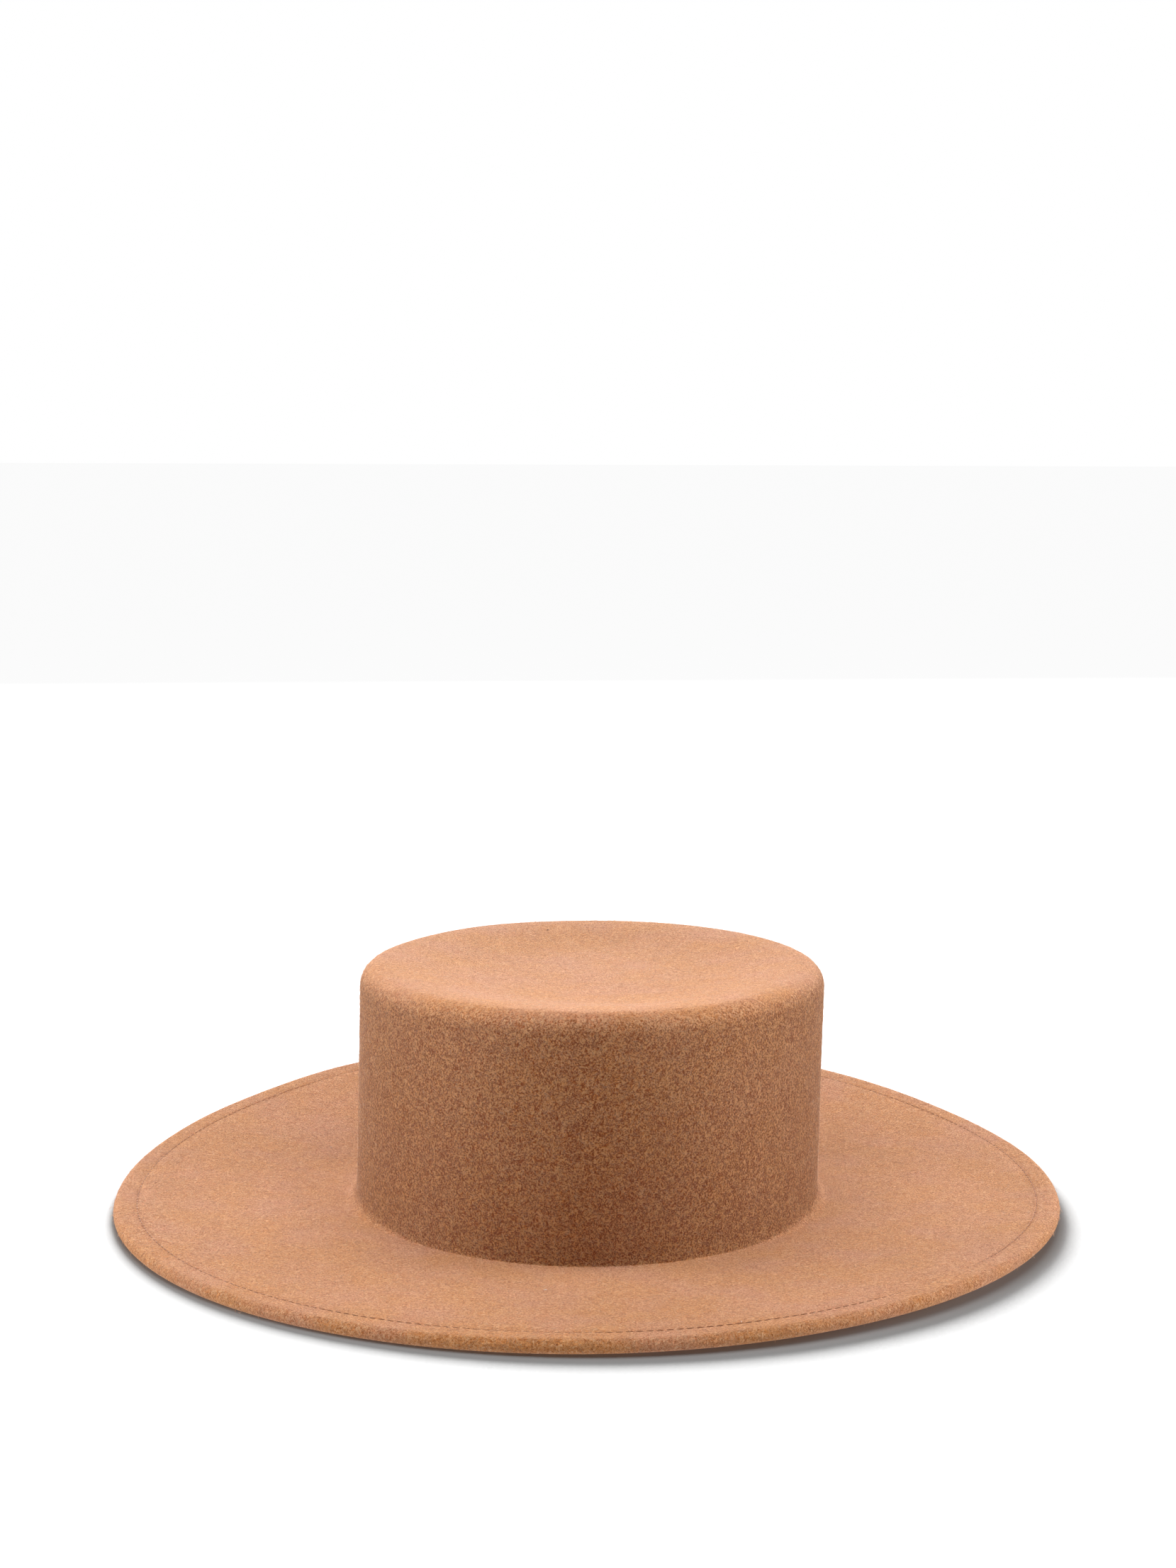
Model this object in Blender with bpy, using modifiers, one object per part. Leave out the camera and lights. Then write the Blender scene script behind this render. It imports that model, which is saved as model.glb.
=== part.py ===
"""Boater hat blocked from one piece of felt: crown, brim, and the hem folded under the brim's edge.

Metres, +Z up. The front of the hat faces -Y and its sides are at -X and +X. The origin is the middle of
the head opening, on the surface that the hat rests on.
"""

import math

import bpy
from mathutils import Vector

MM = 0.001

# The felt
FELT_THICKNESS = 2.3 * MM

# The crown, an oval with upright walls and a dished tip
CROWN_WIDTH = 176 * MM
CROWN_LENGTH = 198 * MM
CROWN_HEIGHT = 89.7 * MM  # from the top face of the brim to the crest of the rim
RIM_RADIUS = 7.5 * MM
TIP_DISH = 5.5 * MM  # how far its middle is below the crest
CROWN_LEAN = 2.0 * MM  # how far the tip has moved towards +X
CREASE_RADIUS = 2.0 * MM  # the hollow corner between wall and brim

# The brim, of one breadth all round the crown
BRIM_BREADTH = 91.3 * MM
SEAT_BREADTH = 15 * MM  # the level ring round the head opening, on which the hat rests
BRIM_RISE = 15.6 * MM  # how much higher the edge is at the back than where it is lowest
RISE_CURVE = 1.4  # 1 is a straight slope, more keeps the brim level for longer

# The hem, felt turned under the brim and sewn down
HEM_BREADTH = 12 * MM
HEM_GAP = 0.4 * MM  # between the two layers
HEM_CLEARANCE = 0.15 * MM  # under the hem where it is lowest

# The brim's edge goes up and down: bearing from +X towards +Y in degrees, and share of BRIM_RISE
EDGE_WAVE = (
    # bearing, share
    (0, 0.14),
    (30, 0.30),
    (60, 0.71),
    (90, 1.00),
    (120, 0.82),
    (150, 0.35),
    (180, 0.03),
    (210, 0.00),
    (240, 0.00),
    (270, 0.04),
    (300, 0.14),
    (330, 0.18),
)

# How finely the surface is divided
SEGMENTS = 72
TIP_RINGS = 7
RIM_STEPS = 5
WALL_RINGS = 3
CREASE_STEPS = 3
SEAT_RINGS = 3
BRIM_RINGS = 6
EDGE_STEPS = 6
HEM_RINGS = 2
MERGE_DISTANCE = 0.0001

# Inside this share of the crown's width the rings of the tip shrink evenly to its middle
TIP_CORE = 0.5

FELT_COLOUR = (0.57, 0.31, 0.17, 1.0)
FELT_ROUGHNESS = 0.95

HALF_WIDTH = CROWN_WIDTH / 2
HALF_LENGTH = CROWN_LENGTH / 2
BRIM_TOP = FELT_THICKNESS
CREST = BRIM_TOP + CROWN_HEIGHT
EDGE_RADIUS = FELT_THICKNESS + HEM_GAP / 2
EDGE_START = HALF_WIDTH + BRIM_BREADTH - EDGE_RADIUS
HEM_END = HALF_WIDTH + BRIM_BREADTH - HEM_BREADTH
SEAT_END = HALF_WIDTH + SEAT_BREADTH


def arc(centre, radius, first, last, steps):
    """Points of a circular arc in the section, after its first one. Angles are in degrees."""
    angles = [math.radians(first + (last - first) * step / steps) for step in range(1, steps + 1)]
    return [centre + radius * Vector((math.cos(angle), math.sin(angle))) for angle in angles]


def line(start, end, steps):
    """Points of a straight stretch of the section, after its first one."""
    return [start.lerp(end, step / steps) for step in range(1, steps + 1)]


def tip_section(breadth):
    """The dished tip, from its middle to the crest of the rim, level at both."""
    shares = [ring / TIP_RINGS for ring in range(TIP_RINGS + 1)]
    depths = [TIP_DISH * (1 + math.cos(math.pi * share**2)) / 2 for share in shares]
    return [Vector((breadth * share, CREST - depth)) for share, depth in zip(shares, depths)]


def felt_section():
    """The outer face of the felt along +X, from the tip's middle to the hem's cut edge, with the brim level."""
    crest = Vector((HALF_WIDTH - RIM_RADIUS, CREST))
    points = tip_section(crest.x)
    points += arc(crest - Vector((0, RIM_RADIUS)), RIM_RADIUS, 90, 0, RIM_STEPS)
    points += line(points[-1], Vector((HALF_WIDTH, BRIM_TOP + CREASE_RADIUS)), WALL_RINGS)
    points += arc(points[-1] + Vector((CREASE_RADIUS, 0)), CREASE_RADIUS, 180, 270, CREASE_STEPS)
    points += line(points[-1], Vector((SEAT_END, BRIM_TOP)), SEAT_RINGS)
    points += line(points[-1], Vector((EDGE_START, BRIM_TOP)), BRIM_RINGS)
    points += arc(points[-1] - Vector((0, EDGE_RADIUS)), EDGE_RADIUS, 90, -90, EDGE_STEPS)
    points += line(points[-1], Vector((HEM_END, points[-1].y)), HEM_RINGS)
    return points


def oval_place(bearing, radius):
    """Where a point of the turned shape comes to lie when its circle is made the oval of the head."""
    core = HALF_WIDTH * TIP_CORE
    kept = max(radius, core)
    outward = Vector((HALF_LENGTH * math.cos(bearing), HALF_WIDTH * math.sin(bearing))).normalized()
    foot = Vector((HALF_WIDTH * math.cos(bearing), HALF_LENGTH * math.sin(bearing)))
    return (foot + (kept - HALF_WIDTH) * outward) * (radius / kept)


def edge_share(bearing):
    """The share of the brim's rise at this bearing, on a smooth closed curve through EDGE_WAVE."""
    shares = [share for _, share in EDGE_WAVE]
    count = len(shares)
    place = (math.degrees(bearing) % 360) / 360 * count
    row = int(place)
    t = place - row
    before, here, after, beyond = (shares[(row + step) % count] for step in (-1, 0, 1, 2))
    slope_here = (after - before) / 2
    slope_after = (beyond - here) / 2
    bend = 3 * (after - here) - 2 * slope_here - slope_after
    turn = 2 * (here - after) + slope_here + slope_after
    return here + slope_here * t + bend * t**2 + turn * t**3


def share_between(value, start, end):
    return min(max((value - start) / (end - start), 0), 1)


def brim_lift(bearing, radius):
    """How far the brim is above the level of its seat. The hem has room under it, all the way round."""
    under_hem = (2 * EDGE_RADIUS - FELT_THICKNESS + HEM_CLEARANCE) * share_between(radius, SEAT_END, HEM_END)
    rise = BRIM_RISE * edge_share(bearing) * share_between(radius, SEAT_END, EDGE_START) ** RISE_CURVE
    return under_hem + rise


def shape_felt(mesh):
    """Turns the round shape into the real one: the head's oval, the lean of the crown, the wave of the brim."""
    for vertex in mesh.vertices:
        radius = math.hypot(vertex.co.x, vertex.co.y)
        bearing = math.atan2(vertex.co.y, vertex.co.x)
        place = oval_place(bearing, radius)
        lean = CROWN_LEAN * max(vertex.co.z - BRIM_TOP, 0) / CROWN_HEIGHT
        height = vertex.co.z + brim_lift(bearing, radius)
        vertex.co = (place.x + lean, place.y, height)


def clear_scene():
    for obj in list(bpy.data.objects):
        bpy.data.objects.remove(obj)


def felt_material():
    material = bpy.data.materials.new("wool_felt")
    material.use_nodes = True
    shader = material.node_tree.nodes["Principled BSDF"]
    shader.inputs["Base Color"].default_value = FELT_COLOUR
    shader.inputs["Roughness"].default_value = FELT_ROUGHNESS
    shader.inputs["Metallic"].default_value = 0.0
    return material


def turned_mesh(name, section):
    """The section turned once round Z, as a mesh."""
    profile = bpy.data.meshes.new(name + "_section")
    points = [(point.x, 0, point.y) for point in section]
    edges = [(index, index + 1) for index in range(len(points) - 1)]
    profile.from_pydata(points, edges, [])
    turned = bpy.data.objects.new(name + "_turned", profile)
    bpy.context.scene.collection.objects.link(turned)
    screw = turned.modifiers.new("Turn", "SCREW")
    screw.axis = "Z"
    screw.steps = SEGMENTS
    screw.render_steps = SEGMENTS
    screw.use_merge_vertices = True
    screw.merge_threshold = MERGE_DISTANCE
    evaluated = turned.evaluated_get(bpy.context.evaluated_depsgraph_get())
    mesh = bpy.data.meshes.new_from_object(evaluated)
    bpy.data.objects.remove(turned)
    bpy.data.meshes.remove(profile)
    return mesh


def add_felt_body(collection):
    """The whole hat: an open sheet along the outer face of the felt, thickened inwards."""
    mesh = turned_mesh("felt_body", felt_section())
    shape_felt(mesh)
    mesh.shade_smooth()
    mesh.materials.append(felt_material())
    body = bpy.data.objects.new("felt_body", mesh)
    collection.objects.link(body)
    felt = body.modifiers.new("Felt", "SOLIDIFY")
    felt.thickness = FELT_THICKNESS
    felt.offset = -1
    felt.use_even_offset = True
    felt.use_rim = True


def main():
    clear_scene()
    collection = bpy.data.collections.new("boater_hat")
    bpy.context.scene.collection.children.link(collection)
    add_felt_body(collection)


main()
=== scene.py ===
"""Boater hat of camel wool felt: the looks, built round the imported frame.

The crown, the brim and the folded hem are one felt, so one shell stands for them. On it lie the stitches
that hold the hem, the nap of the wool, and a little lint.
"""

import math

import bmesh
import bpy
import numpy as np
from bpy.props import FloatProperty, FloatVectorProperty, IntProperty, PointerProperty
from bpy.types import Operator, Panel, PropertyGroup
from mathutils import Matrix, Vector


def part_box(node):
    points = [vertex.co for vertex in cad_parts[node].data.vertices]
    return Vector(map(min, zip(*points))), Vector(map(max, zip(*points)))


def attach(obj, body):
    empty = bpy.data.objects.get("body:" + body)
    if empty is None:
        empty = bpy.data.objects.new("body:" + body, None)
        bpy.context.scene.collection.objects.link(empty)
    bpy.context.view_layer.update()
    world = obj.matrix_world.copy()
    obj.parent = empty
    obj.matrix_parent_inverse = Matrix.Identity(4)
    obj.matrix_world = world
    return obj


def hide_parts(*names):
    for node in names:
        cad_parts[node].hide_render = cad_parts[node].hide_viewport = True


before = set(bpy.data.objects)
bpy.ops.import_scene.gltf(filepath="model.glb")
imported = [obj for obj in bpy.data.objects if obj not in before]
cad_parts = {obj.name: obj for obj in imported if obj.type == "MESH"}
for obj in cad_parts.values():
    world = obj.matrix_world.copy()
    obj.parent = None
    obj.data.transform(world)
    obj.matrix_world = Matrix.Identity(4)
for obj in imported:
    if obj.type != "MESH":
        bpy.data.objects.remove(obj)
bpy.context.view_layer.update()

bl_info = {
    "name": "Felt Boater Hat",
    "version": (1, 0, 0),
    "blender": (4, 5, 0),
    "location": "View3D > Sidebar > Hat",
    "description": "Blocks a boater hat from wool felt, sews its hem and lights it",
    "category": "Add Mesh",
}

MM = 0.001
LOW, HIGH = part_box("felt_body")

# The brim's edge goes up and down: bearing from +X towards +Y in degrees, and share of the rise
EDGE_WAVE = (
    # bearing, share
    (0, 0.14),
    (30, 0.30),
    (60, 0.71),
    (90, 1.00),
    (120, 0.82),
    (150, 0.35),
    (180, 0.03),
    (210, 0.00),
    (240, 0.00),
    (270, 0.04),
    (300, 0.14),
    (330, 0.18),
)

# The photograph's frame, and where the middle of the crown's foot is in it
PHOTO_WIDTH = 1659
PHOTO_HEIGHT = 2212
FOOT_X = 829.6
FOOT_Y = 1680.4
SENSOR = 36.0


def srgb(code):
    """A linear colour from an sRGB hex value such as #C8946C."""
    parts = [int(code[place : place + 2], 16) / 255 for place in (1, 3, 5)]
    return [part / 12.92 if part <= 0.04045 else ((part + 0.055) / 1.055) ** 2.4 for part in parts]


def length(label, text, default, **more):
    return FloatProperty(name=label, description=text, default=default, unit="LENGTH", precision=4, **more)


def colour(label, text, code):
    return FloatVectorProperty(name=label, description=text, default=srgb(code), subtype="COLOR", size=3,
                               min=0, max=1)


class HatBlock(PropertyGroup):
    """The sizes that the felt is blocked to."""

    felt: length("Felt", "Thickness of the felt", 2.3 * MM)
    crown_width: length("Crown width", "Width of the crown across the ears", 176 * MM)
    rim_radius: length("Rim radius", "Rounding between tip and wall", 7.5 * MM)
    tip_dish: length("Tip dish", "How far the tip's middle is below its crest", 5.5 * MM)
    crown_lean: length("Lean", "How far the tip has moved to one side", 2.0 * MM)
    crease_front: length("Sharp crease", "Radius of the crease at the front and back", 0.4 * MM)
    crease_side: length("Soft crease", "Radius of the crease at the sides", 5.0 * MM)
    brim_breadth: length("Brim", "Breadth of the brim, all round", 91.3 * MM)
    seat_breadth: length("Seat", "Level ring round the head opening", 15 * MM)
    brim_rise: length("Rise", "How much higher the edge is at the back than at its lowest", 15.6 * MM)
    rise_curve: FloatProperty(name="Rise curve", description="1 is a straight slope", default=1.4)
    hem_breadth: length("Hem", "Breadth of the felt turned under the brim", 12 * MM)
    hem_gap: length("Hem gap", "Space between the two layers", 0.4 * MM)
    hem_clearance: length("Hem clearance", "Space under the hem where it is lowest", 0.15 * MM)
    waver: length("Waver", "How far hand blocking leaves the surface from true", 0.35 * MM)
    segments: IntProperty(name="Segments", description="Divisions round the hat", default=288)


class HemStitching(PropertyGroup):
    """The row of lockstitch that holds the hem."""

    inset: length("Inset", "Distance of the row from the brim's edge", 8.8 * MM)
    pitch: length("Pitch", "Length of one stitch", 3.3 * MM)
    thread: length("Thread", "Thickness of the thread", 0.36 * MM)
    gap: length("Gap", "Felt showing between two stitches", 0.7 * MM)
    groove: length("Groove", "How deep the row is drawn into the felt", 0.14 * MM)
    groove_breadth: length("Groove breadth", "Breadth of the drawn-in line", 1.6 * MM)


class WoolNap(PropertyGroup):
    """The fibres that stand out of the felt."""

    wall_fibres: IntProperty(name="Wall", description="Fibres on the wall", default=9500)
    tip_fibres: IntProperty(name="Tip", description="Fibres on the tip", default=4500)
    brim_fibres: IntProperty(name="Brim", description="Fibres on the brim", default=9500)
    thickness: length("Thickness", "Thickness of a fibre, drawn five times too coarse so that it shows",
                      0.11 * MM)
    reach: length("Length", "Length of a fibre", 2.6 * MM)
    stand: length("Stand", "How far a fibre stands off the felt", 0.3 * MM)
    strays: FloatProperty(name="Strays", description="Share of fibres that stand out further",
                          default=0.08, subtype="FACTOR")


class FeltColours(PropertyGroup):
    """The dye of the felt, and what lies on it."""

    body: colour("Felt", "The camel dye as most of the felt shows it", "#D48E54")
    # The pits' darker tone: partly the felt's own, partly painted shade in the hollows of the nap
    pit_tone_and_shade: colour("Deep", "Where the fibres leave small pits", "#9A5528")
    pale: colour("Pale", "Fibre tips that took less dye", "#F2C093")
    rosy: colour("Rosy", "Patches where the dye is redder", "#D2906E")
    # Painted shade: the steep wall's colour is multiplied by this, darker and warmer where less light falls
    depth: colour("Depth", "What the nap's depth leaves of the light on the wall", "#FFF0D6")
    sheen: colour("Sheen", "Light caught by the nap", "#FFE6D6")
    thread: colour("Thread", "Sewing thread", "#AC7450")
    fibre: colour("Fibre", "Loose wool", "#E0AC84")
    lint: colour("Lint", "Lint that has settled on the hat", "#F3E9E2")
    speck: colour("Speck", "A burr left in the wool", "#6B3E26")


class HatStudio(PropertyGroup):
    """The camera of the photograph, the floor and the lights."""

    distance: length("Distance", "From the camera to the crown's foot", 1.086)
    elevation: FloatProperty(name="Elevation", description="Of the camera above the brim", subtype="ANGLE",
                             default=math.radians(15.35))
    roll: FloatProperty(name="Roll", description="Of the camera", subtype="ANGLE",
                        default=math.radians(0.19))
    lens: FloatProperty(name="Lens", description="Focal length in millimetres", default=64.13)
    top_light: FloatProperty(name="Top light", description="Power of the softbox above", default=3.2,
                             unit="POWER")
    back_light: FloatProperty(name="Back light", description="Power of the softbox behind", default=74.0,
                              unit="POWER")
    side_light: FloatProperty(name="Side lights", description="Power of each side softbox", default=21.0,
                              unit="POWER")
    ambient: FloatProperty(name="Ambient", description="Strength of the light from all round", default=0.05)
    glow: FloatProperty(name="Glow", description="Light that the table gives the hat", default=0.73)
    seen_glow: FloatProperty(name="Seen glow", description="How bright the table looks", default=0.95)
    # Painted contact shadow on the table: the glow left where it is deepest, and the shares of open sky
    # where it starts and ends
    shade_depth: FloatProperty(name="Shade depth", description="Glow left where the shade is deepest",
                               default=0.02)
    shade_start: FloatProperty(name="Shade start", description="Open share of the light where the shade "
                               "is deepest", default=0.68)
    shade_end: FloatProperty(name="Shade end", description="Open share of the light where the shade ends",
                             default=0.915)
    acrylic: colour("Acrylic", "The table's own white", "#7C7C7C")


def hat():
    return bpy.context.scene.hat_block


def half_width():
    return hat().crown_width / 2


def half_length():
    return (HIGH.y - LOW.y) / 2 - hat().brim_breadth


def edge_radius():
    return hat().felt + hat().hem_gap / 2


def crest_height():
    return HIGH.z


def edge_share(bearing):
    """The share of the brim's rise at this bearing, on a smooth closed curve through EDGE_WAVE."""
    shares = [share for _, share in EDGE_WAVE]
    count = len(shares)
    place = (math.degrees(bearing) % 360) / 360 * count
    row = int(place)
    t = place - row
    before, here, after, beyond = (shares[(row + step) % count] for step in (-1, 0, 1, 2))
    slope_here = (after - before) / 2
    slope_after = (beyond - here) / 2
    bend = 3 * (after - here) - 2 * slope_here - slope_after
    turn = 2 * (here - after) + slope_here + slope_after
    return here + slope_here * t + bend * t**2 + turn * t**3


def share_between(value, start, end):
    return min(max((value - start) / (end - start), 0), 1)


def brim_lift(bearing, radius):
    """How far the brim is above the level of its seat."""
    seat_end = half_width() + hat().seat_breadth
    edge = half_width() + hat().brim_breadth
    under_hem = 2 * edge_radius() - hat().felt + hat().hem_clearance
    level = under_hem * share_between(radius, seat_end, edge - hat().hem_breadth)
    slope = share_between(radius, seat_end, edge - edge_radius())
    return level + hat().brim_rise * edge_share(bearing) * slope**hat().rise_curve


def oval_place(bearing, radius):
    """Where a point of the round shape comes to lie on the oval of the head."""
    core = half_width() / 2
    kept = max(radius, core)
    outward = Vector((half_length() * math.cos(bearing), half_width() * math.sin(bearing))).normalized()
    foot = Vector((half_width() * math.cos(bearing), half_length() * math.sin(bearing)))
    return (foot + (kept - half_width()) * outward) * (radius / kept)


def waver(place):
    """Slow, slight unevenness of hand blocking, from crossing waves. It fades out towards the hem."""
    across = 31 * MM
    up = 14 * MM
    x, y, z = place.x / across, place.y / across, place.z / up
    waves = (
        math.sin(x + 0.7 * y),
        math.sin(1.3 * y - 0.9 * z + 1.1),
        math.sin(1.7 * x - 0.6 * z + 2.3),
        math.sin(2.1 * x + 1.7 * y + z),
    )
    return sum(waves) / len(waves) * share_between(place.z, 3 * MM, 7 * MM)


def hat_point(bearing, radius, height):
    """A point of the round, level shape brought to its real place."""
    place = oval_place(bearing, radius)
    above = max(height - hat().felt, 0)
    lean = hat().crown_lean * above / (crest_height() - hat().felt)
    lift = brim_lift(bearing, radius)
    return Vector((place.x + lean, place.y, height + lift))


def arc(centre, radius, first, last, steps):
    """Points of a circular arc in the section, after its first one. Angles are in degrees."""
    angles = [math.radians(first + (last - first) * step / steps) for step in range(1, steps + 1)]
    return [centre + radius * Vector((math.cos(angle), math.sin(angle))) for angle in angles]


def line(start, end, steps):
    """Points of a straight stretch of the section, after its first one."""
    return [start.lerp(end, step / steps) for step in range(1, steps + 1)]


TIP_RINGS = 18
WALL_RINGS = 24
BRIM_RINGS = 16


def drawn_in(row, level, facing):
    """The groove that the stitches pull along a row. Facing is 1 above the brim and -1 under it."""
    seam = bpy.context.scene.hem_stitching
    half = seam.groove_breadth / 2
    shares = ((-1, 0), (-0.55, 0.6), (0, 1), (0.55, 0.6), (1, 0))
    return [
        Vector((row + side * half * facing, level - depth * seam.groove * facing)) for side, depth in shares
    ]


def felt_section(bearing):
    """The outer face of the felt at this bearing, from near the tip's middle to the hem's cut edge."""
    block = hat()
    frontal = share_between(abs(math.sin(bearing)), 0.3, 0.75)
    crease = block.crease_side + (block.crease_front - block.crease_side) * frontal
    top = block.felt
    crest = Vector((half_width() - block.rim_radius, crest_height()))
    shares = [ring / TIP_RINGS for ring in range(1, TIP_RINGS + 1)]
    points = [
        Vector((crest.x * share, crest.y - block.tip_dish * (1 + math.cos(math.pi * share**2)) / 2))
        for share in shares
    ]
    points += arc(crest - Vector((0, block.rim_radius)), block.rim_radius, 90, 0, 12)
    points += line(points[-1], Vector((half_width(), top + crease)), WALL_RINGS)
    points += arc(points[-1] + Vector((crease, 0)), crease, 180, 270, 6)
    points += line(points[-1], Vector((half_width() + block.seat_breadth, top)), 5)
    edge = half_width() + block.brim_breadth
    row = edge - bpy.context.scene.hem_stitching.inset
    upper = drawn_in(row, top, 1)
    points += line(points[-1], upper[0], BRIM_RINGS) + upper[1:]
    points += line(points[-1], Vector((edge - edge_radius(), top)), 4)
    points += arc(points[-1] - Vector((0, edge_radius())), edge_radius(), 90, -90, 14)
    under = drawn_in(row, top - 2 * edge_radius(), -1)
    points += line(points[-1], under[0], 3) + under[1:]
    points += line(points[-1], Vector((edge - block.hem_breadth, under[0].y)), 2)
    return points


def deselect_all():
    if bpy.context.mode != "OBJECT":
        bpy.ops.object.mode_set(mode="OBJECT")
    bpy.ops.object.select_all(action="DESELECT")


def named(name):
    """The active object, given this name."""
    piece = bpy.context.view_layer.objects.active
    piece.name = name
    piece.data.name = name
    return piece


def apply_modifier(piece, kind, **settings):
    modifier = piece.modifiers.new(kind.title(), kind)
    for key, value in settings.items():
        setattr(modifier, key, value)
    bpy.context.view_layer.objects.active = piece
    bpy.ops.object.modifier_apply(modifier=modifier.name)


def add_node(tree, kind, inputs=(), **settings):
    """Adds a node with its settings. Inputs pair a socket with a value, or with the output that feeds it."""
    node = tree.nodes.new(kind)
    for key, value in settings.items():
        setattr(node, key, value)
    for socket, value in dict(inputs).items():
        if isinstance(value, bpy.types.NodeSocket):
            tree.links.new(value, node.inputs[socket])
        else:
            node.inputs[socket].default_value = value
    return node


def new_material(name):
    material = bpy.data.materials.new(name)
    material.use_nodes = True
    return material, material.node_tree, material.node_tree.nodes["Principled BSDF"]


def opaque(rgb):
    return (*rgb, 1.0)


def wool_felt():
    """Wool felt, wet-blocked and left unshorn: matt, a little furry, with pits and paler fibre tips. Painted
    shade darkens and warms the steep wall and, in part, the pits.
    """
    tones = bpy.context.scene.felt_colours
    material, tree, shader = new_material("wool_felt")
    coordinates = add_node(tree, "ShaderNodeTexCoord")
    place = coordinates.outputs["Object"]

    # Uneven dye, in patches of about 25 mm
    patches = add_node(tree, "ShaderNodeTexNoise", {"Vector": place, "Scale": 40.0, "Detail": 2.0})
    patchy = add_node(tree, "ShaderNodeMapRange", {"Value": patches.outputs["Fac"], "From Min": 0.4,
                                                   "From Max": 0.68, "To Max": 0.8})
    dyed = add_node(tree, "ShaderNodeMix", {"Factor": patchy.outputs["Result"], "A": opaque(tones.body),
                                            "B": opaque(tones.rosy)}, data_type="RGBA")

    # Tufts about 2 mm apart, and the ends of single fibres, which are drawn six times too coarse
    tufts = add_node(tree, "ShaderNodeTexNoise", {"Vector": place, "Scale": 480.0, "Detail": 3.0,
                                                  "Roughness": 0.75, "Distortion": 0.6})
    ends = add_node(tree, "ShaderNodeTexNoise", {"Vector": place, "Scale": 1350.0, "Detail": 3.0,
                                                 "Roughness": 0.75})

    # Curled fibres: the level lines of a warped noise, about 0.3 mm broad
    curls = add_node(tree, "ShaderNodeTexNoise", {"Vector": place, "Scale": 420.0, "Detail": 2.0,
                                                  "Distortion": 3.0})
    level = add_node(tree, "ShaderNodeMath", {0: curls.outputs["Fac"], 1: 0.5}, operation="SUBTRACT")
    distance = add_node(tree, "ShaderNodeMath", {0: level.outputs["Value"]}, operation="ABSOLUTE")
    fibres = add_node(tree, "ShaderNodeMapRange", {"Value": distance.outputs["Value"], "From Min": 0.05,
                                                   "From Max": 0.0, "To Max": 0.2})

    # The crown's wall is steep and near the middle: there the felt gets painted shade and a nap pattern of
    # more contrast
    facing = add_node(tree, "ShaderNodeSeparateXYZ", {"Vector": coordinates.outputs["Normal"]})
    level_share = add_node(tree, "ShaderNodeMath", {0: facing.outputs["Z"]}, operation="ABSOLUTE")
    steep = add_node(tree, "ShaderNodeMapRange", {"Value": level_share.outputs["Value"], "From Min": 0.9,
                                                  "From Max": 0.0})
    from_middle = add_node(tree, "ShaderNodeVectorMath", {0: place}, operation="LENGTH")
    crown = add_node(tree, "ShaderNodeMapRange", {"Value": from_middle.outputs["Value"],
                                                  "From Min": 165 * MM, "From Max": 140 * MM})
    wall = add_node(tree, "ShaderNodeMath", {0: steep.outputs["Result"], 1: crown.outputs["Result"]},
                    operation="MULTIPLY").outputs["Value"]

    # The height of the nap, about 0.5 in the middle, gives both its colour and its relief. On the steep wall
    # its contrast is raised up to three times: painted shade in the pits, where the light grazes the wall
    rough = add_node(tree, "ShaderNodeMix", {"Factor": 0.75, "A": tufts.outputs["Fac"],
                                             "B": ends.outputs["Fac"]}, data_type="FLOAT")
    height = add_node(tree, "ShaderNodeMath", {0: rough.outputs["Result"], 1: fibres.outputs["Result"]},
                      operation="ADD")
    above_mean = add_node(tree, "ShaderNodeMath", {0: height.outputs["Value"], 1: 0.54},
                          operation="SUBTRACT")
    wall_shade_contrast = add_node(tree, "ShaderNodeMapRange", {"Value": wall, "To Min": 0.95, "To Max": 3.0})
    relief = add_node(tree, "ShaderNodeMath", {0: above_mean.outputs["Value"],
                                               1: wall_shade_contrast.outputs["Result"], 2: 0.54},
                      operation="MULTIPLY_ADD")
    pits = add_node(tree, "ShaderNodeMapRange", {"Value": relief.outputs["Value"], "From Min": 0.55,
                                                 "From Max": 0.38, "To Max": 1.0})
    pitted = add_node(tree, "ShaderNodeMix", {"Factor": pits.outputs["Result"],
                                              "A": dyed.outputs["Result"],
                                              "B": opaque(tones.pit_tone_and_shade)}, data_type="RGBA")
    tips = add_node(tree, "ShaderNodeMapRange", {"Value": relief.outputs["Value"], "From Min": 0.54,
                                                 "From Max": 0.76, "To Max": 1.0})
    napped = add_node(tree, "ShaderNodeMix", {"Factor": tips.outputs["Result"],
                                              "A": pitted.outputs["Result"],
                                              "B": opaque(tones.pale)}, data_type="RGBA")

    # Painted shade: the steep wall's colour is multiplied by a darker, warmer one, for the light that
    # reaches it less than the tip and brim
    wall_painted_shade = add_node(tree, "ShaderNodeMix", {"Factor": wall, "A": napped.outputs["Result"],
                                             "B": opaque(tones.depth)}, data_type="RGBA",
                     blend_type="MULTIPLY")
    tree.links.new(wall_painted_shade.outputs["Result"], shader.inputs["Base Color"])

    bump = add_node(tree, "ShaderNodeBump", {"Height": relief.outputs["Value"], "Strength": 1.0,
                                             "Distance": 1.1 * MM})
    tree.links.new(bump.outputs["Normal"], shader.inputs["Normal"])
    shader.inputs["Roughness"].default_value = 0.95
    shader.inputs["Specular IOR Level"].default_value = 0.2
    shader.inputs["Sheen Weight"].default_value = 0.35
    shader.inputs["Sheen Roughness"].default_value = 0.3
    shader.inputs["Sheen Tint"].default_value = opaque(tones.sheen)
    return material


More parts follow.
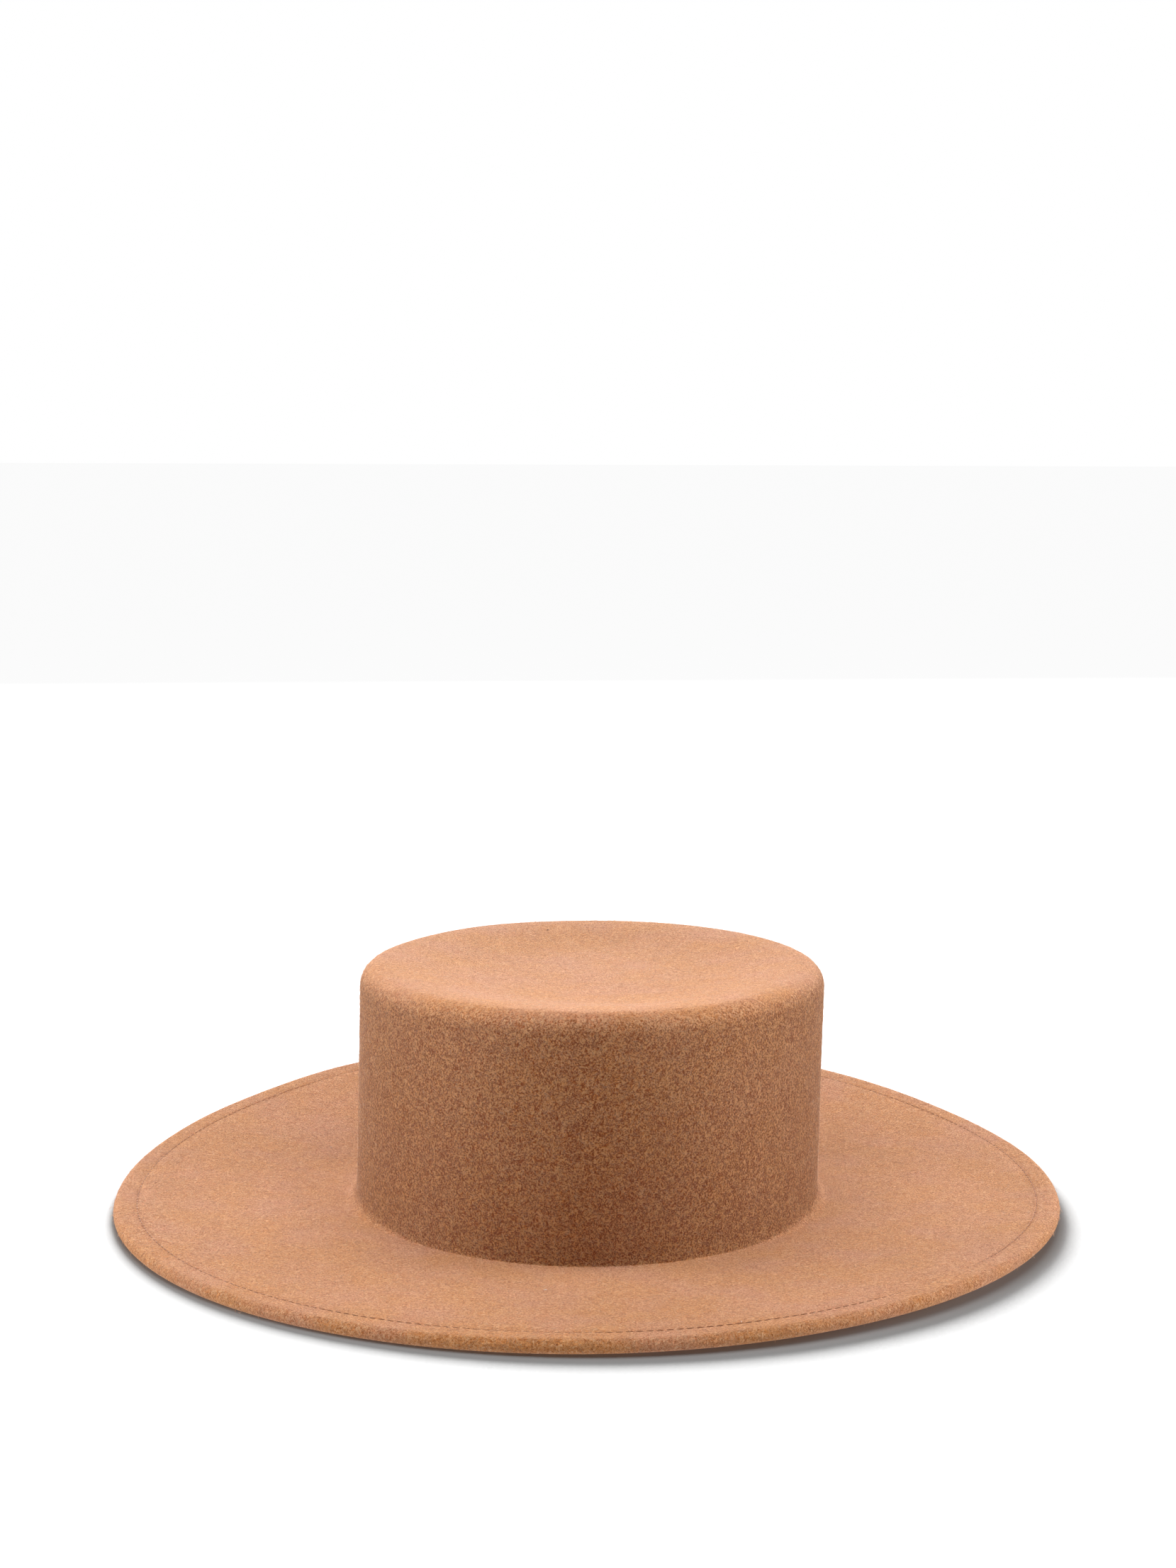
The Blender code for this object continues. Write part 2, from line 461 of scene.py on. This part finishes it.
def sewing_thread():
    """Spun thread, a shade darker than the felt: two plies twisted together, with a dull gloss."""
    tones = bpy.context.scene.felt_colours
    material, tree, shader = new_material("sewing_thread")
    place = add_node(tree, "ShaderNodeTexCoord").outputs["Object"]
    plies = add_node(tree, "ShaderNodeTexWave", {"Vector": place, "Scale": 600.0, "Distortion": 1.0},
                     bands_direction="DIAGONAL")
    tone = add_node(tree, "ShaderNodeMix", {"Factor": plies.outputs["Fac"],
                                            "A": opaque([part * 0.7 for part in tones.thread]),
                                            "B": opaque(tones.thread)}, data_type="RGBA")
    tree.links.new(tone.outputs["Result"], shader.inputs["Base Color"])
    shader.inputs["Roughness"].default_value = 0.7
    return material


def plain_fibre(name, rgb):
    """A loose fibre: too thin for any pattern but a little unevenness of tone, and sheeny."""
    material, tree, shader = new_material(name)
    place = add_node(tree, "ShaderNodeTexCoord").outputs["Object"]
    uneven = add_node(tree, "ShaderNodeTexNoise", {"Vector": place, "Scale": 300.0})
    tone = add_node(tree, "ShaderNodeMix", {"Factor": uneven.outputs["Fac"],
                                            "A": opaque([part * 0.75 for part in rgb]),
                                            "B": opaque(rgb)}, data_type="RGBA")
    tree.links.new(tone.outputs["Result"], shader.inputs["Base Color"])
    shader.inputs["Roughness"].default_value = 0.8
    shader.inputs["Sheen Weight"].default_value = 0.3
    return material


def opal_acrylic():
    """White opal acrylic, lit from below: a matt glow, even but for a painted contact shadow along the hat's
    edge, which only the camera sees.
    """
    studio = bpy.context.scene.hat_studio
    material, tree, shader = new_material("opal_acrylic")
    # Painted contact shadow: ambient occlusion, leaning towards the lights behind, dims the glow that the
    # camera sees near the hat; the glow that lights the hat stays even
    towards_light = add_node(tree, "ShaderNodeCombineXYZ", {"X": -0.15, "Y": 0.9, "Z": 0.4})
    open_sky = add_node(tree, "ShaderNodeAmbientOcclusion", {"Distance": 0.075,
                                                             "Normal": towards_light.outputs["Vector"]},
                        samples=32)
    shade = add_node(tree, "ShaderNodeMapRange", {"Value": open_sky.outputs["AO"],
                                                  "From Min": studio.shade_start,
                                                  "From Max": studio.shade_end,
                                                  "To Min": studio.shade_depth, "To Max": studio.seen_glow})
    seen = add_node(tree, "ShaderNodeLightPath").outputs["Is Camera Ray"]
    glow = add_node(tree, "ShaderNodeMix", {"Factor": seen, "A": studio.glow, "B": shade.outputs["Result"]},
                    data_type="FLOAT")
    tree.links.new(glow.outputs["Result"], shader.inputs["Emission Strength"])
    shader.inputs["Emission Color"].default_value = (1, 1, 1, 1)
    shader.inputs["Base Color"].default_value = opaque(studio.acrylic)
    shader.inputs["Roughness"].default_value = 0.9
    shader.inputs["Specular IOR Level"].default_value = 0.1
    return material


def joined_copies(name, places, faces):
    """One mesh of many copies of a small model: each copy's vertex places, and the model's faces."""
    count, size, _ = places.shape
    shifted = [[corner + copy * size for corner in face] for copy in range(count) for face in faces]
    mesh = bpy.data.meshes.new(name)
    mesh.from_pydata(places.reshape(-1, 3).tolist(), [], shifted)
    mesh.shade_smooth()
    piece = bpy.data.objects.new(name, mesh)
    bpy.context.scene.collection.objects.link(piece)
    return piece


def strand_model(sides, rings):
    """A closed spindle, one unit in radius and from -1 to 1 along Z: its vertex places and faces."""
    deselect_all()
    bpy.ops.mesh.primitive_uv_sphere_add(segments=sides, ring_count=rings, radius=1)
    model = bpy.context.view_layer.objects.active
    corners = np.array([vertex.co[:] for vertex in model.data.vertices])
    faces = [tuple(polygon.vertices) for polygon in model.data.polygons]
    mesh = model.data
    bpy.data.objects.remove(model)
    bpy.data.meshes.remove(mesh)
    return corners, faces


def stitch_places(level, sides, rings):
    """The vertex places of a whole number of stitches, end to end along the row at this level."""
    seam = bpy.context.scene.hem_stitching
    radius = half_width() + hat().brim_breadth - seam.inset
    bearings = [2 * math.pi * step / 1440 for step in range(1441)]
    route = [hat_point(bearing, radius, level) for bearing in bearings]
    run = [0.0]
    for before, after in zip(route, route[1:], strict=False):
        run.append(run[-1] + (after - before).length)
    count = round(run[-1] / seam.pitch)
    middles = np.interp([run[-1] * (stitch + 0.5) / count for stitch in range(count)], run, bearings)
    corners, faces = strand_model(sides, rings)
    reach = (run[-1] / count - seam.gap) / 2
    places = []
    for bearing in middles:
        here, ahead = hat_point(bearing, radius, level), hat_point(bearing + 0.002, radius, level)
        along = (ahead - here).normalized()
        side = along.cross(Vector((0, 0, 1))).normalized()
        up = side.cross(along)
        frame_here = np.array([side * seam.thread / 2, up * seam.thread / 2, along * reach])
        places.append(corners @ frame_here + np.array(here))
    return np.array(places), faces


class HAT_OT_blocked_felt(Operator):
    """Block the crown and the brim from one felt and fold the brim's edge under"""

    bl_idname = "hat.blocked_felt"
    bl_label = "Blocked Felt"

    def execute(self, context):
        deselect_all()
        first = felt_section(0)[0]
        bpy.ops.mesh.primitive_circle_add(vertices=hat().segments, radius=first.x, fill_type="TRIFAN",
                                          location=(0, 0, first.y))
        bpy.ops.object.transform_apply(location=True)
        felt = named("felt_shell")
        bpy.ops.object.mode_set(mode="EDIT")
        mesh = bmesh.from_edit_mesh(felt.data)
        rim = [edge for edge in mesh.edges if edge.is_boundary]
        bpy.ops.mesh.select_all(action="DESELECT")
        for edge in rim:
            edge.select_set(True)
        middle = min(mesh.verts, key=lambda vertex: vertex.co.xy.length)
        middle.co.z = crest_height() - hat().tip_dish
        sections = {}
        for ring in range(1, len(felt_section(0))):
            bpy.ops.mesh.extrude_edges_move()
            mesh = bmesh.from_edit_mesh(felt.data)
            for vertex in mesh.verts:
                if not vertex.select:
                    continue
                bearing = math.atan2(vertex.co.y, vertex.co.x)
                key = round(bearing, 4)
                if key not in sections:
                    sections[key] = felt_section(bearing)
                radius, height = sections[key][ring]
                vertex.co = (radius * math.cos(bearing), radius * math.sin(bearing), height)
        for vertex in mesh.verts:
            bearing = math.atan2(vertex.co.y, vertex.co.x)
            vertex.co = hat_point(bearing, vertex.co.xy.length, vertex.co.z)
        bpy.ops.mesh.select_all(action="SELECT")
        bpy.ops.mesh.normals_make_consistent(inside=False)
        mesh = bmesh.from_edit_mesh(felt.data)
        mesh.normal_update()
        moves = [hat().waver * waver(vertex.co) * vertex.normal for vertex in mesh.verts]
        for vertex, move in zip(mesh.verts, moves, strict=True):
            vertex.co += move
        bmesh.update_edit_mesh(felt.data)
        bpy.ops.object.mode_set(mode="OBJECT")
        apply_modifier(felt, "SOLIDIFY", thickness=hat().felt, offset=-1, use_even_offset=True)
        felt.data.shade_smooth()
        felt.data.materials.append(wool_felt())
        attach(felt, "root")
        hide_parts("felt_body")
        return {"FINISHED"}


class HAT_OT_hem_stitches(Operator):
    """Sew the row of lockstitch that holds the hem, above the brim and under it"""

    bl_idname = "hat.hem_stitches"
    bl_label = "Hem Stitches"

    def execute(self, context):
        seam = context.scene.hem_stitching
        thread = sewing_thread()
        sunk = seam.groove - 0.1 * MM
        top = hat().felt
        for name, level in (
            # name, level
            ("hem_stitches_above", top - sunk),
            ("hem_stitches_below", top - 2 * edge_radius() + sunk),
        ):
            stitches = joined_copies(name, *stitch_places(level, 6, 4))
            stitches.data.materials.append(thread)
            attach(stitches, "root")
        return {"FINISHED"}


class HAT_OT_nap(Operator):
    """Raise the wool's nap: short curled fibres that lie on the felt, and a few that stand out"""

    bl_idname = "hat.nap"
    bl_label = "Nap"

    def execute(self, context):
        nap = context.scene.wool_nap
        wool = plain_fibre("wool_fibre", context.scene.felt_colours.fibre)
        random = np.random.default_rng(7)
        centres, normals, areas = self.outer_faces(bpy.data.objects["felt_shell"].data)
        from_axis = (centres[:, 0] / half_width()) ** 2 + (centres[:, 1] / half_length()) ** 2
        crown = from_axis < 1.3
        tip = crown & (normals[:, 2] > 0.4) & (centres[:, 2] > crest_height() - hat().rim_radius)
        wall = crown & ~tip & (normals[:, 2] < 0.4)
        brim = ~crown & (normals[:, 2] > -0.3)
        for name, region, count in (
            # name, region, count
            ("nap_wall", wall, nap.wall_fibres),
            ("nap_tip", tip, nap.tip_fibres),
            ("nap_brim", brim, nap.brim_fibres),
        ):
            chances = np.where(region, areas, 0)
            picked = random.choice(len(areas), count, p=chances / chances.sum())
            spread = np.sqrt(areas[picked])[:, None] * random.uniform(-0.5, 0.5, (count, 3))
            roots = centres[picked] + spread - normals[picked] * (spread * normals[picked]).sum(1)[:, None]
            fibres = joined_copies(name, *self.curls(nap, random, roots, normals[picked]))
            fibres.data.materials.append(wool)
            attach(fibres, "root")
        return {"FINISHED"}

    def outer_faces(self, mesh):
        """Middles, normals and areas of the felt's outer faces, which Solidify leaves first."""
        count = hat().segments * len(felt_section(0))
        polygons = mesh.polygons[:count]
        centres = np.array([polygon.center[:] for polygon in polygons])
        normals = np.array([polygon.normal[:] for polygon in polygons])
        return centres, normals, np.array([polygon.area for polygon in polygons])

    def curls(self, nap, random, roots, normals):
        """Curled, tapered fibres from these roots: their vertex places, and one fibre's faces."""
        corners, faces = strand_model(3, 4)
        count = len(roots)
        helper = np.where(np.abs(normals[:, 2:]) < 0.9, [[0.0, 0.0, 1.0]], [[0.0, 1.0, 0.0]])
        across = np.cross(helper, normals)
        across /= np.linalg.norm(across, axis=1)[:, None]
        upward = np.cross(normals, across)
        heading = random.uniform(0, 2 * math.pi, count)[:, None]
        turn = random.uniform(0.6, 3.0, count)[:, None] * random.choice([-1, 1], count)[:, None]
        reach = nap.reach * random.uniform(0.5, 1.3, count)[:, None]
        stray = random.random(count)[:, None] < nap.strays
        stand = nap.stand * random.uniform(0.3, 1.0, count)[:, None] * np.where(stray, 3.0, 1.0)

        # Each corner of the spindle becomes a place t along the fibre and an offset from its middle
        t = np.arccos(np.clip(-corners[:, 2], -1, 1))[None] / math.pi
        angle = heading + turn * t
        ahead = reach / turn * (np.sin(angle) - np.sin(heading))
        aside = -reach / turn * (np.cos(angle) - np.cos(heading))
        lift = stand * np.sin(math.pi * 0.8 * t) - nap.thickness
        out = corners[:, 0] * nap.thickness / 2
        high = lift + corners[:, 1] * nap.thickness / 2
        ahead = ahead - out * np.sin(angle)
        aside = aside + out * np.cos(angle)
        places = roots[:, None] + ahead[..., None] * across[:, None] + aside[..., None] * upward[:, None]
        return places + high[..., None] * normals[:, None], faces


# Lint and burrs that have settled on the hat: place in mm, length and thickness in mm, heading, kind
LINT = (
    # x, y, length, thickness, degrees, kind
    (-13.8, -128.2, 1.3, 0.28, 35, "lint"),
    (50.2, -172.0, 1.0, 0.25, 80, "lint"),
    (-104.0, 61.0, 0.9, 0.2, 10, "lint"),
    (131.0, 22.0, 0.8, 0.2, 120, "lint"),
    (-16.2, 75.2, 0.9, 0.5, 15, "burr"),
    (24.0, 12.0, 0.7, 0.2, 60, "lint"),
)


class HAT_OT_lint(Operator):
    """Lay the lint and the burr where they have settled"""

    bl_idname = "hat.lint"
    bl_label = "Lint"

    def execute(self, context):
        tones = context.scene.felt_colours
        felt = bpy.data.objects["felt_shell"]
        corners, faces = strand_model(5, 4)
        for kind, tone in (("lint", tones.lint), ("burr", tones.speck)):
            places = []
            for x, y, reach, thickness, heading, row_kind in LINT:
                if row_kind != kind:
                    continue
                _, spot, normal, _ = felt.ray_cast(Vector((x * MM, y * MM, 0.2)), Vector((0, 0, -1)))
                turned = math.radians(heading)
                along = Vector((math.cos(turned), math.sin(turned), 0))
                along = (along - normal * along.dot(normal)).normalized()
                side = normal.cross(along)
                axes = np.array([side * thickness / 2, normal * thickness / 2, along * reach / 2]) * MM
                bend = np.outer(corners[:, 2] ** 2 * reach * 0.15 * MM, side)
                places.append(corners @ axes + bend + np.array(spot + normal * 0.1 * MM))
            bits = joined_copies(f"{kind}_bits", np.array(places), faces)
            bits.data.materials.append(plain_fibre(f"{kind}_wool", tone))
            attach(bits, "root")
        return {"FINISHED"}


class HAT_OT_studio(Operator):
    """Set the light table, the lights and the camera of the photograph"""

    bl_idname = "hat.studio"
    bl_label = "Studio"

    def execute(self, context):
        studio = context.scene.hat_studio
        deselect_all()
        self.floor()
        self.air(studio)
        self.lights(studio)
        self.camera(studio)
        context.scene.view_settings.view_transform = "Standard"
        return {"FINISHED"}

    def floor(self):
        bpy.ops.mesh.primitive_plane_add(size=60, location=(0, 0, 0))
        floor = named("studio_floor")
        floor.data.materials.append(opal_acrylic())

    def air(self, studio):
        """White all round as far as the eye sees, while only a little of it lights the hat."""
        world = bpy.data.worlds.new("studio_air")
        world.use_nodes = True
        tree = world.node_tree
        seen = add_node(tree, "ShaderNodeLightPath").outputs["Is Camera Ray"]
        strength = add_node(tree, "ShaderNodeMapRange", {"Value": seen, "To Min": studio.ambient,
                                                         "To Max": 1.0})
        tree.links.new(strength.outputs["Result"], tree.nodes["Background"].inputs["Strength"])
        tree.nodes["Background"].inputs["Color"].default_value = (1, 1, 1, 1)
        bpy.context.scene.world = world

    def lights(self, studio):
        for name, place, size, height, power in (
            # name, place, size, height, power
            ("top_softbox", (0, -0.21, 0.5), 0.5, 0.5, studio.top_light),
            ("back_softbox", (-0.2, 2.0, 0.8), 2.6, 1.0, studio.back_light),
            ("left_softbox", (-1.4, 0.25, 0.27), 0.9, 0.4, studio.side_light),
            ("right_softbox", (1.4, 0.25, 0.27), 0.9, 0.4, studio.side_light),
        ):
            aim = Vector((0, 0, 0.05)) - Vector(place)
            turn = aim.to_track_quat("-Z", "Y").to_euler()
            bpy.ops.object.light_add(type="AREA", location=place, rotation=turn)
            light = named(name)
            light.data.shape = "RECTANGLE"
            light.data.size = size
            light.data.size_y = height
            light.data.energy = power
            light.visible_camera = False

    def camera(self, studio):
        """Stands at the photograph's distance and turns until the crown's foot is at its pixel."""
        rise = studio.elevation
        back = Vector((0, -math.cos(rise), math.sin(rise)))
        right = Vector((1, 0, 0))
        up = right.cross(-back)
        focal = studio.lens / SENSOR * PHOTO_HEIGHT
        yaw = math.atan2(FOOT_X - PHOTO_WIDTH / 2, focal)
        pitch = math.atan2(FOOT_Y - PHOTO_HEIGHT / 2, focal)
        turned = Matrix((right, up, back)).transposed().to_4x4()
        turned = turned @ Matrix.Rotation(pitch, 4, "X") @ Matrix.Rotation(yaw, 4, "Y")
        turned = turned @ Matrix.Rotation(studio.roll, 4, "Z")
        foot = Vector((0, 0, hat().felt))
        bpy.ops.object.camera_add(location=(0, 0, 0))
        camera = named("photo_camera")
        camera.matrix_world = Matrix.Translation(foot + back * studio.distance) @ turned
        camera.data.lens = studio.lens
        camera.data.sensor_width = SENSOR
        camera.data.clip_start = 0.01
        bpy.context.scene.camera = camera


class HAT_PT_panel(Panel):
    """Lists the pieces of the hat in the sidebar"""

    bl_label = "Boater Hat"
    bl_idname = "HAT_PT_panel"
    bl_space_type = "VIEW_3D"
    bl_region_type = "UI"
    bl_category = "Hat"

    def draw(self, context):
        for group in ("hat_block", "hem_stitching", "wool_nap", "felt_colours", "hat_studio"):
            settings = getattr(context.scene, group)
            box = self.layout.box()
            for name in settings.bl_rna.properties.keys():
                if name not in ("rna_type", "name"):
                    box.prop(settings, name)
        for operator in OPERATORS:
            self.layout.operator(operator.bl_idname)


GROUPS = {
    "hat_block": HatBlock,
    "hem_stitching": HemStitching,
    "wool_nap": WoolNap,
    "felt_colours": FeltColours,
    "hat_studio": HatStudio,
}
OPERATORS = (HAT_OT_blocked_felt, HAT_OT_hem_stitches, HAT_OT_nap, HAT_OT_lint, HAT_OT_studio)


def register():
    for kind in (*GROUPS.values(), *OPERATORS, HAT_PT_panel):
        bpy.utils.register_class(kind)
    for name, kind in GROUPS.items():
        setattr(bpy.types.Scene, name, PointerProperty(type=kind))


def unregister():
    for name in GROUPS:
        delattr(bpy.types.Scene, name)
    for kind in reversed((*GROUPS.values(), *OPERATORS, HAT_PT_panel)):
        bpy.utils.unregister_class(kind)


def main():
    register()
    bpy.ops.hat.studio()
    bpy.ops.hat.blocked_felt()
    bpy.ops.hat.hem_stitches()
    bpy.ops.hat.nap()
    bpy.ops.hat.lint()


if __name__ == "__main__":
    main()
